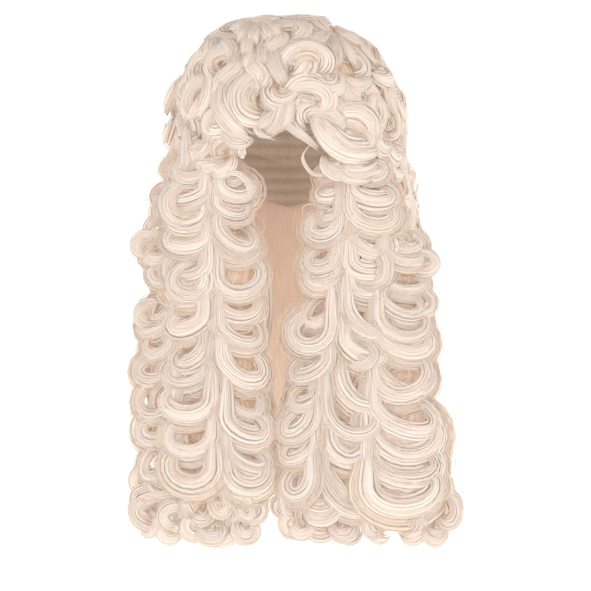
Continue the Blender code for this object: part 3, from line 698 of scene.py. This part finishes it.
def add_crown_rows(hair, piece):
    """The rows of curls that cover all of the crown: rings, and waves between."""
    rng = hair.rng
    half_w, half_h, band = CROWN_CURL
    for z, first, last, count, lift in CROWN_ROWS.get(piece, ()):
        for i in range(count):
            azimuth = first + (last - first) * i / (count - 1) + rng.uniform(-4, 4)
            place = crown_disc(azimuth, min(z + rng.uniform(-5, 5), CROWN_TOP))
            way = rng.choice((-1, 1))
            a, b = way * jitter(rng, half_w, 0.2), jitter(rng, half_h, 0.2)
            rise, side = jitter(rng, lift, 0.3), 0
            if rng.random() < WAVE_SHARE:
                spots = ((-0.5 * a, 1.4 * b), (0.5 * a, 0.5 * b), (-0.3 * a, -0.5 * b),
                         (0.6 * a, -1.2 * b))
                guide, out = stroke(place, spots, rise, sink=0.25)
            else:
                sweep, side = way * rng.uniform(240, 360), -way
                guide, out = ring(place, 0, 0, abs(a), b, 90 - way * rng.uniform(-60, 110), sweep,
                                  rise, wind=0.5)
            hair.lock(guide, out, jitter(rng, band, 0.2), 0.6 * band, main=10, fine=6, steps=13,
                      root=0.5, hollow=side, tone_and_shade=rng.uniform(-0.2, 0.1), loose=0.15)
            add_wisps(hair, place, 0, 0, 8, lift * 1.2, 2)


def add_hooks(hair, piece):
    """The hooks of a lappet in columns, and its curls that are placed one by one."""
    rng = hair.rng
    for row in LAPPET_COLUMNS.get(piece, ()):
        table, line_a, line_b, first, last, count, tall, band, lift = row
        place = lappet_place(table)
        for i in range(count):
            share = i / (count - 1)
            z = first + (last - first) * share ** LOWER_APART + rng.uniform(-6, 6)
            root, tip = column(table, z, LINES[line_a]), column(table, z, LINES[line_b])
            side = math.copysign(1, tip - root)
            grown = 0.85 + 0.3 * share
            wide = jitter(rng, band * grown, 0.25)
            root = root + side * wide * 0.6 if line_a == "spine" else root - side * 12
            tip = tip - side * wide * 0.8 + rng.uniform(-6, 6)
            high = jitter(rng, tall * grown, 0.25) * abs(tip - root)
            guide, out = hook(place, root, tip, z + high * 0.3, high, jitter(rng, lift, 0.2),
                              rng.uniform(230, 345), rng.uniform(38, 56), rng.uniform(-0.15, 0.55))
            hair.lock(guide, out, wide, 0.55 * wide, main=13, fine=12, steps=19, root=0.35,
                      hollow=side, tone_and_shade=rng.uniform(-0.1, 0.1), loose=0.1)
            add_wisps(hair, place, (root + tip) / 2, z, 8, lift * 1.1, 3)
    for x, z, half_w, half_h, start, sweep, band, lift in LAPPET_RINGS.get(piece, ()):
        place = lappet_place(LAPPET_LEFT if x < 0 else LAPPET_RIGHT)
        guide, out = ring(place, x, z, half_w, half_h, start, sweep, lift, wind=0.55)
        hair.lock(guide, out, band, 0.5 * band, main=12, fine=12, steps=22, root=0.4,
                  hollow=turn_side(sweep), loose=0.06)


def add_strays(hair, piece):
    """Thin locks that stand away from the curls."""
    for y, half, lift, spots in STRAYS.get(piece, ()):
        def place(x, z, rise):
            points = np.stack((x, y - rise, z), -1)
            return points, np.broadcast_to((0.0, -1.0, 0.0), points.shape)
        guide, out = stroke(place, spots, lift)
        for aside in (-STRAY_APART, 0, STRAY_APART):
            apart = (aside * half * 0.7, aside * 0.5, aside * half)
            hair.wisp(guide + apart, out, half, steps=18)


def add_ends(hair, piece, table):
    """The curled ends of a lappet."""
    rng = hair.rng
    place = lappet_place(table)
    wide, high, strip, thick, rise = END_CURL
    for z, first, last, count in END_FIELDS.get(piece, ()):
        for i in range(count):
            x = first + (last - first) * i / (count - 1) + rng.uniform(-4, 4)
            way = rng.choice((-1, 1))
            sweep = way * rng.uniform(220, 300)
            guide, out = ring(place, x, z + rng.uniform(-3, 3), jitter(rng, wide, 0.2),
                              jitter(rng, high, 0.2), 90 - way * rng.uniform(-40, 80), sweep, rise)
            hair.lock(guide, out, strip, thick, main=9, fine=7, steps=15, root=0.5,
                      hollow=turn_side(sweep), tone_and_shade=END_TONE, loose=0.1)
    for x, z, half_w, half_h, start, sweep, band, lift in END_RINGS.get(piece, ()):
        guide, out = ring(place, x, z, half_w - band, half_h - band * 0.5, start, sweep, lift)
        hair.lock(guide, out, band, 0.5 * band, main=12, fine=12, root=0.5,
                  hollow=turn_side(sweep), loose=0.12)
    for band, lift, spots in END_STROKES.get(piece, ()):
        guide, out = stroke(place, spots, lift)
        hair.lock(guide, out, band, 0.5 * band, main=12, fine=10, steps=16, loose=0.12)


def add_fall_hooks(hair, piece):
    """The hooks of the hair between an ear and the shoulder."""
    for spine, reach, first, last, count in FALL_COLUMNS.get(piece, ()):
        for i in range(count):
            z = first + (last - first) * i / (count - 1) + hair.rng.uniform(-3, 3)
            add_fall_hook(hair, spine, reach, z)


def add_fall_hook(hair, spine, reach, z):
    """One hook on a fall; its across is in degrees."""
    rng = hair.rng
    tall, band, lift = FALL_HOOK
    band = jitter(rng, band, 0.2)
    degree = math.radians(1) * FALL_RADIUS
    side = math.copysign(1, reach)
    root = spine + side * band * 0.6 / degree
    tip = spine + reach - side * band * 0.6 / degree + rng.uniform(-3, 3)
    high = jitter(rng, tall, 0.2) * abs(tip - root) * degree
    guide, out = hook(fall_place, root, tip, z + high * 0.3, high, jitter(rng, lift, 0.15),
                      rng.uniform(240, 330), rng.uniform(30, 48), rng.uniform(-0.1, 0.45))
    hair.lock(guide, out, band, 0.5 * band, main=8, fine=5, steps=15, root=0.35, hollow=side,
              tone_and_shade=rng.uniform(-0.1, 0.1), loose=0.1)


def add_back_hooks(hair, row):
    """The hooks of one row down the back."""
    top, bottom = BACK_LEVELS[row], BACK_LEVELS[row + 1]
    pitch = (top - bottom) / BACK_HOOKS
    for spine, reach in BACK_COLUMNS:
        for k in range(BACK_HOOKS):
            z = top - pitch * (k + 0.45) + hair.rng.uniform(-3, 3)
            add_fall_hook(hair, spine, reach, z)


# The hair mass under the curls: closed walls whose faces lie in wavy ridges, painted darker as
# shade, most in the valleys
RIDGE_STEP = 2.4            # between the columns of a wall's points
ROW_STEP = 6.0
RIM = 0.004                 # how far the first cell goes, as a share of the wall
RIDGE_HIGH = 1.6
RIDGE_SWING = 2.5
SWING_LENGTH = 46.0
WALL_RADIUS = 115.0
CROWN_INSET = 6.0           # from the crown's surface in to its wall's back
CROWN_OUTSET = 3.0
FALL_OUTSET = 2.0
LAPPET_OUTSET = 3.5
FREE_INSET = 9.0            # how far a lappet's wall stays inside its curls' tips
UNDER_CURL_PAINTED_SHADE = -2.0         # painted shade of the valleys under the curls; the crests are painted lighter
INSIDE_TONE = -1.0
# how much lighter the crests are painted than the valleys, inside and out: painted shade in the
# valleys
RIDGE_PAINTED_SHADE_SPAN = 1.3


def ridges(place, across, z, lift, step):
    """Points over a surface in wavy ridges, and how high each lies on its ridge."""
    number = across / step
    phase = 1.1 * np.sin(number * 0.37)
    swing = RIDGE_SWING * np.sin(math.tau * z / SWING_LENGTH + phase)
    crest = (np.arange(across.shape[1]) % 2) * (0.65 + 0.35 * np.sin(number * 1.7))
    points, _ = place(across + swing * step / RIDGE_STEP, z, lift + RIDGE_HIGH * crest)
    return points, crest


def grid(first, last, columns, top, bottom, power=1.0):
    """A grid of places from one line to another and down from one level to
    another, with a narrow cell at each rim that keeps the shading there."""
    def shares(count):
        return np.concatenate(([0], np.linspace(RIM, 1 - RIM, count), [1]))
    rows = top - (top - bottom) * shares(int(abs(top - bottom) / ROW_STEP) + 3) ** power
    if callable(first):
        first, last = first(rows), last(rows)
    share = shares(columns)
    across = np.asarray(first)[..., None] * (1 - share) + np.asarray(last)[..., None] * share
    across = np.broadcast_to(across, (len(rows), len(share)))
    return across, np.broadcast_to(rows[:, None], across.shape)


def crown_wall(hair, azimuth_a, azimuth_b, top, bottom):
    """The hair mass under the curls of a piece of the crown."""
    columns = int(math.radians(azimuth_b - azimuth_a) * CROWN_HALF[0] / RIDGE_STEP)
    across, z = grid(azimuth_a, azimuth_b, columns, top, bottom, 2 if top > 0 else 1)
    step = (azimuth_b - azimuth_a) / (columns - 1)
    front, crest = ridges(crown_place, across, z, CROWN_OUTSET, step)
    back, _ = crown_place(across, z, np.full(z.shape, -CROWN_INSET))
    # painted shade: the wall under the curls is darker, most in its valleys
    hair.wall(front, back, UNDER_CURL_PAINTED_SHADE + RIDGE_PAINTED_SHADE_SPAN * crest, np.full(z.shape, INSIDE_TONE))


def fall_inside(azimuth, z, lift):
    """Points over the inner face of a fall. Ridges need no way out of it."""
    half_x = column(FALL, z, 1) - column(FALL, z, 3) - lift
    half_y = column(FALL, z, 2) - column(FALL, z, 3) - lift
    turn = np.radians(azimuth)
    x, y = half_x * np.sin(turn), -half_y * np.cos(turn)
    return np.stack((x, y, z + 0 * x), -1), None


def fall_wall(hair, azimuth_a, azimuth_b, top, bottom):
    """The hair mass under the curls of a fall."""
    columns = int(math.radians(azimuth_b - azimuth_a) * WALL_RADIUS / RIDGE_STEP)
    across, z = grid(azimuth_a, azimuth_b, columns, top, bottom)
    step = (azimuth_b - azimuth_a) / (columns - 1)
    front, crest = ridges(fall_place, across, z, FALL_OUTSET, step)
    back, back_crest = ridges(fall_inside, across, z, 0.0, step)
    # painted shade: the fall's wall under the curls is darker, most in the valleys of both its
    # faces
    hair.wall(front, back, UNDER_CURL_PAINTED_SHADE + RIDGE_PAINTED_SHADE_SPAN * crest, INSIDE_TONE + RIDGE_PAINTED_SHADE_SPAN * back_crest)


def lappet_wall(hair, table, line_a, line_b, top, bottom, open_end):
    """The backing of part of a lappet, thin at its free edges."""
    lines = sorted((line_a, line_b), key=lambda line: column(table, -250, LINES[line]))

    def side(line):
        inset = FREE_INSET if line == lines[0] else -FREE_INSET
        if line in ("spine", "edge"):
            inset = 0
        return lambda rows: column(table, rows, LINES[line]) + inset

    width = np.abs(np.ptp([column(table, -400, LINES[line]) for line in lines]))
    across, z = grid(side(lines[0]), side(lines[1]), int(width / RIDGE_STEP), top, bottom)
    front, crest = ridges(lappet_place(table), across, z, LAPPET_OUTSET, RIDGE_STEP)
    inner, outer = lappet_sides(table, z)
    share = np.clip(np.abs(across - (inner + outer) / 2) / np.abs(outer - inner) * 2.15, 0, 1)
    full = np.sqrt(1 - share ** 6)
    if open_end:
        full = full * np.sqrt(np.clip(1 - ((z - top) / (bottom - top)) ** 6, 0, 1))
    middle = column(table, z, 1) - LAPPET_WALL / 2
    front[..., 1] = np.minimum(middle + (front[..., 1] - middle) * full, middle - 1)
    deep = (LAPPET_WALL / 2 + RIDGE_HIGH * crest) * full
    back = np.stack((front[..., 0], middle + np.maximum(deep, 1), z), -1)
    # painted shade: the lappet's backing is darker, most in the valleys of its ridges
    hair.wall(front, back, UNDER_CURL_PAINTED_SHADE + RIDGE_PAINTED_SHADE_SPAN * crest, INSIDE_TONE + RIDGE_PAINTED_SHADE_SPAN * crest)


BEHIND_TOPS = (-120.0, -112.0)  # by turns, of the locks on a lappet's back
BEHIND_END = -458.0
BEHIND_COUNT = 6
BEHIND_SPOTS = 8
BEHIND_BAND = 10.0
BEHIND_THICK = 3.0
BEHIND_WAVE = 5.0


def add_behind(hair, table):
    """Wavy locks that hang down the back of a lappet."""
    rng = hair.rng

    def place(x, z, lift):
        points = np.stack((x, column(table, z, 1) + lift, z), -1)
        return points, np.broadcast_to((0.0, 1.0, 0.0), points.shape)

    for i in range(BEHIND_COUNT):
        z = np.linspace(BEHIND_TOPS[i % 2], BEHIND_END + 6 * (1 - i % 2), BEHIND_SPOTS)
        share = (i + 0.5) / BEHIND_COUNT
        inner, outer = lappet_sides(table, z)
        x = inner * (1 - share) + outer * share
        way = rng.choice((-1, 1)) * BEHIND_WAVE
        x = x * 0.92 + way * np.cos(np.arange(BEHIND_SPOTS) * 2.2 + rng.uniform(0, 6))
        guide, out = stroke(place, np.stack((x, z), -1), BEHIND_THICK, sink=0.6)
        hair.lock(guide, out, BEHIND_BAND, BEHIND_THICK, main=13, fine=4, steps=16, root=0.7,
                  loose=0.1)


WISP_SIZE = (9.0, 22.0)
WISP_HALF = (0.3, 0.6)


def add_wisps(hair, place, x, z, reach, lift, count):
    """Fly-away hairs in loose curves round a spot."""
    rng = hair.rng
    for _ in range(count):
        way = rng.choice((-1, 1))
        size = rng.uniform(*WISP_SIZE)
        guide, out = ring(place, x + rng.uniform(-reach, reach), z + rng.uniform(-reach, reach),
                          size, size * rng.uniform(0.7, 1.2), rng.uniform(0, 360),
                          way * rng.uniform(160, 330), jitter(rng, lift, 0.3), sink=0.2)
        hair.wisp(guide, out, rng.uniform(*WISP_HALF), steps=16)


# The pieces of the crown: the part of the head that each covers
CROWN_PIECES = (
    # piece, azimuth from, azimuth to, top, bottom
    ("fringe_left", -60, 0, -38, -76),
    ("fringe_right", 0, 60, -38, -76),
    ("temple_roll_left", -60, -28, -74, -108),
    ("temple_roll_right", 28, 60, -74, -108),
    ("crown_top", 0, 360, 16.9, -38),
    ("crown_side_left", -118, -60, -38, -104),
    ("crown_side_right", 60, 118, -38, -104),
    ("crown_back", 118, 242, -38, -104),
)

# The pieces of the falls and the lappets
FALL_PIECES = (("side_fall_left", -118, -55), ("side_fall_right", 55, 118))
FALL_TOP = -98
FALL_BOTTOM = -290
BACK_AZIMUTHS = (118, 242)
LAPPET_PIECES = (
    # piece, table, from, to, top, bottom, whether it ends there
    ("lappet_left_inner", LAPPET_LEFT, "spine", "inner", -104, -430, False),
    ("lappet_left_outer", LAPPET_LEFT, "spine", "outer", -104, -430, False),
    ("lappet_right_inner", LAPPET_RIGHT, "spine", "inner", -104, -430, False),
    ("lappet_right_outer", LAPPET_RIGHT, "spine", "edge", -104, -430, False),
    ("lappet_right_edge", LAPPET_RIGHT, "edge", "outer", -196, -430, False),
    ("lappet_left_ends", LAPPET_LEFT, "inner", "outer", -426, -464, True),
    ("lappet_right_ends", LAPPET_RIGHT, "inner", "outer", -426, -464, True),
)


def make_crown(hair, piece, azimuth_a, azimuth_b, top, bottom):
    """A piece of the crown: its mass and its curls."""
    crown_wall(hair, azimuth_a, azimuth_b, top, bottom)
    add_crown_rows(hair, piece)
    add_front(hair, piece)


def make_lappet(hair, piece, table, line_a, line_b, top, bottom, open_end):
    """A piece of a lappet: its backing and its curls."""
    lappet_wall(hair, table, line_a, line_b, top, bottom, open_end)
    if (line_a, line_b) == ("spine", "inner"):
        add_behind(hair, table)
    add_hooks(hair, piece)
    add_ends(hair, piece, table)


# Materials

# HAIR_DARK is the end of the ramp that the painted shade under the curls and in their middles
# reaches
HAIR_DARK = (0.72, 0.53, 0.38)
HAIR_COLOURS = ((0.22, (0.89, 0.70, 0.55)), (0.45, (0.95, 0.78, 0.67)))
HAIR_LIGHT = (0.97, 0.85, 0.76)
HAIR_LIGHT_FROM = 0.85
HAIR_PAINTED_GLOW = 0.12            # painted glow: the hair gives out light of its own colour, standing in for the light that white hair scatters from strand to strand
TONE_AND_SHADE_WEIGHT = 0.22          # of the tone attribute beside the streaks: a strand's tone with its painted shade and painted highlight
NET_DARK = (0.70, 0.61, 0.51)
NET_LIGHT = (0.84, 0.77, 0.69)


def set_inputs(node, **values):
    """Values for a node's inputs, with _ for the spaces in their names."""
    for name, value in values.items():
        node.inputs[name.replace("_", " ")].default_value = value
    return node


def new_material(name):
    """A material, and its nodes, links and shader."""
    material = bpy.data.materials.new(name)
    material.use_nodes = True
    tree = material.node_tree
    return material, tree.nodes, tree.links, tree.nodes["Principled BSDF"]


def weighed_sum(nodes, links, value, weight, other):
    """A number: the value times its weight, and the other added."""
    node = nodes.new("ShaderNodeMath")
    node.operation = "MULTIPLY_ADD"
    node.inputs[1].default_value = weight
    links.new(value, node.inputs[0])
    links.new(other, node.inputs[2])
    return node.outputs["Value"]


def add_bump(nodes, links, shader, height, strength, distance):
    """Small unevenness of a surface."""
    bump = set_inputs(nodes.new("ShaderNodeBump"), Strength=strength, Distance=distance)
    links.new(height, bump.inputs["Height"])
    links.new(bump.outputs["Normal"], shader.inputs["Normal"])


def hair_material():
    """Satin curled synthetic hair: warm white, with streaks along each strand, the painted shade
    and highlight that its strands carry, and a painted glow.
    """
    material, nodes, links, shader = new_material("hair")
    uv = nodes.new("ShaderNodeUVMap")
    uv.uv_map = "strand"
    stretch = set_inputs(nodes.new("ShaderNodeMapping"), Scale=(5.0, 1.2, 1.0))
    links.new(uv.outputs["UV"], stretch.inputs["Vector"])
    streaks = set_inputs(nodes.new("ShaderNodeTexNoise"), Scale=2.0, Detail=3.0)
    links.new(stretch.outputs["Vector"], streaks.inputs["Vector"])
    # the attribute carries each strand's tone together with painted shade in hollows, at tips and
    # under the curls, and a painted highlight at roots
    tone_and_shade = nodes.new("ShaderNodeAttribute")
    tone_and_shade.attribute_name = "tone_and_shade"
    mixed = weighed_sum(nodes, links, tone_and_shade.outputs["Fac"], TONE_AND_SHADE_WEIGHT, streaks.outputs["Fac"])
    ramp = nodes.new("ShaderNodeValToRGB")
    ramp.color_ramp.elements[0].position = 0.0
    ramp.color_ramp.elements[0].color = (*HAIR_DARK, 1)
    ramp.color_ramp.elements[1].position = HAIR_LIGHT_FROM
    ramp.color_ramp.elements[1].color = (*HAIR_LIGHT, 1)
    for position, colour in HAIR_COLOURS:
        ramp.color_ramp.elements.new(position).color = (*colour, 1)
    links.new(mixed, ramp.inputs["Fac"])
    links.new(ramp.outputs["Color"], shader.inputs["Base Color"])
    # painted glow: the hair's colour is also given out as light, which lifts its shade
    links.new(ramp.outputs["Color"], shader.inputs["Emission Color"])
    add_bump(nodes, links, shader, streaks.outputs["Fac"], 0.35, 0.0009)
    set_inputs(shader, Emission_Strength=HAIR_PAINTED_GLOW, Roughness=0.45, Specular_IOR_Level=0.55,
               Subsurface_Weight=0.4, Subsurface_Radius=(1.0, 0.75, 0.55),
               Subsurface_Scale=0.002, Sheen_Weight=0.6, Sheen_Roughness=0.4)
    return material


def net_material():
    """The cap's woven net, with rows of sewn bands."""
    material, nodes, links, shader = new_material("net")
    place = nodes.new("ShaderNodeTexCoord")
    bands = set_inputs(nodes.new("ShaderNodeTexWave"), Scale=26.0)
    bands.bands_direction = "Z"
    links.new(place.outputs["Object"], bands.inputs["Vector"])
    weave = set_inputs(nodes.new("ShaderNodeTexVoronoi"), Scale=420.0)
    links.new(place.outputs["Object"], weave.inputs["Vector"])
    height = weighed_sum(nodes, links, weave.outputs["Distance"], 0.5, bands.outputs["Fac"])
    ramp = nodes.new("ShaderNodeValToRGB")
    ramp.color_ramp.elements[0].color = (*NET_DARK, 1)
    ramp.color_ramp.elements[1].color = (*NET_LIGHT, 1)
    links.new(height, ramp.inputs["Fac"])
    links.new(ramp.outputs["Color"], shader.inputs["Base Color"])
    add_bump(nodes, links, shader, height, 0.6, 0.0015)
    set_inputs(shader, Roughness=0.8, Sheen_Weight=0.2)
    return material


# Seeds of the random numbers, one for each piece from here on
CROWN_SEED = 100
LAPPET_SEED = 200
FALL_SEED = 300
BACK_SEED = 400


def make_pieces():
    """Every piece of the hair, each in the place of its solid."""
    hair_look = hair_material()
    made = []

    def begin(node, seed):
        made.append((node, Hair("hair_" + node, seed)))
        return made[-1][1]

    for i, row in enumerate(CROWN_PIECES):
        make_crown(begin(row[0], CROWN_SEED + i), *row)
    for i, row in enumerate(LAPPET_PIECES):
        make_lappet(begin(row[0], LAPPET_SEED + i), *row)
    for node, azimuth_a, azimuth_b in FALL_PIECES:
        hair = begin(node, FALL_SEED + len(made))
        fall_wall(hair, azimuth_a, azimuth_b, FALL_TOP, FALL_BOTTOM)
        add_fall_hooks(hair, node)
    for i in range(len(BACK_LEVELS) - 1):
        hair = begin("back_row_%d" % (i + 1), BACK_SEED + i)
        fall_wall(hair, *BACK_AZIMUTHS, BACK_LEVELS[i] + 2, BACK_LEVELS[i + 1])
        add_back_hooks(hair, i)
    for node, hair in made:
        add_strays(hair, node)
        piece = hair.build(hair_look)
        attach(piece, "root")
        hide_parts(node)


# The stage

FLOOR_Z = -640.0
FLOOR_FLAT = 3600.0         # where the floor starts to turn up into the backdrop
FLOOR_TURN = 1800.0
FLOOR_STEPS = 12            # of that turn
FLOOR_SIDES = 96
FLOOR_COLOUR = (0.93, 0.925, 0.915, 1)
FLOOR_GLOW = 0.5
WALL_TOP = 3200.0
WORLD_COLOUR = (1.0, 0.985, 0.965, 1)
WORLD_STRENGTH = 0.27
LIGHT_TARGET = (0, 0, -0.2)
LIGHT_SIZE = 1.8
LIGHTS = (
    # name, place, power
    ("key", (-0.7, -2.9, -0.05), 11),
    ("fill", (1.2, -2.8, -0.35), 8.5),
    ("behind", (0.5, 2.8, 0.3), 8),
)


def make_floor():
    """A pale floor that turns up into a round backdrop far from the wig."""
    profile = [(0.0, FLOOR_Z), (FLOOR_FLAT / 2, FLOOR_Z), (FLOOR_FLAT, FLOOR_Z)]
    for i in range(1, FLOOR_STEPS + 1):
        turn = math.pi / 2 * i / FLOOR_STEPS
        profile.append((FLOOR_FLAT + FLOOR_TURN * math.sin(turn),
                        FLOOR_Z + FLOOR_TURN * (1 - math.cos(turn))))
    profile.append((FLOOR_FLAT + FLOOR_TURN, WALL_TOP))
    sides = FLOOR_SIDES
    points = [(0, 0, FLOOR_Z * MM)]
    for radius, z in profile[1:]:
        for k in range(sides):
            a = math.tau * k / sides
            points.append((radius * math.cos(a) * MM, radius * math.sin(a) * MM, z * MM))
    faces = [(0, 1 + k, 1 + (k + 1) % sides) for k in range(sides)]
    for row in range(len(profile) - 2):
        low = 1 + row * sides
        for k in range(sides):
            j = (k + 1) % sides
            faces.append((low + k, low + sides + k, low + sides + j, low + j))
    mesh = bpy.data.meshes.new("floor")
    mesh.from_pydata(points, [], faces)
    mesh.shade_smooth()
    material, _, _, shader = new_material("floor")
    set_inputs(shader, Base_Color=FLOOR_COLOUR, Roughness=0.7, Emission_Color=FLOOR_COLOUR,
               Emission_Strength=FLOOR_GLOW)
    mesh.materials.append(material)
    floor = bpy.data.objects.new("floor", mesh)
    bpy.context.scene.collection.objects.link(floor)


def area_light(name, place, power):
    """A soft square light that shines at the wig."""
    data = bpy.data.lights.new(name, "AREA")
    data.size = LIGHT_SIZE
    data.energy = power
    light = bpy.data.objects.new(name, data)
    light.location = place
    way = Vector(LIGHT_TARGET) - Vector(place)
    light.rotation_mode = "QUATERNION"
    light.rotation_quaternion = way.to_track_quat("-Z", "Y")
    bpy.context.scene.collection.objects.link(light)


def make_lights():
    """A bright even studio: pale surroundings, two big soft lights in front and
    one behind."""
    world = bpy.data.worlds.new("studio")
    world.use_nodes = True
    set_inputs(world.node_tree.nodes["Background"], Color=WORLD_COLOUR, Strength=WORLD_STRENGTH)
    bpy.context.scene.world = world
    for light in LIGHTS:
        area_light(*light)


def make_camera():
    """The camera, level in front of the face."""
    data = bpy.data.cameras.new("camera")
    data.sensor_width = SENSOR
    data.lens = SENSOR * CAMERA_AWAY / VIEW_WIDTH
    camera = bpy.data.objects.new("camera", data)
    camera.location = (CAMERA_X * MM, (FACE_Y - CAMERA_AWAY) * MM, CAMERA_Z * MM)
    camera.rotation_euler = (math.pi / 2, 0, 0)
    bpy.context.scene.collection.objects.link(camera)
    bpy.context.scene.camera = camera


make_pieces()
net = net_material()
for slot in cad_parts["foundation_cap"].material_slots:
    slot.material = net
make_floor()
make_lights()
make_camera()
bpy.context.scene.view_settings.view_transform = "Standard"

bpy.context.view_layer.update()
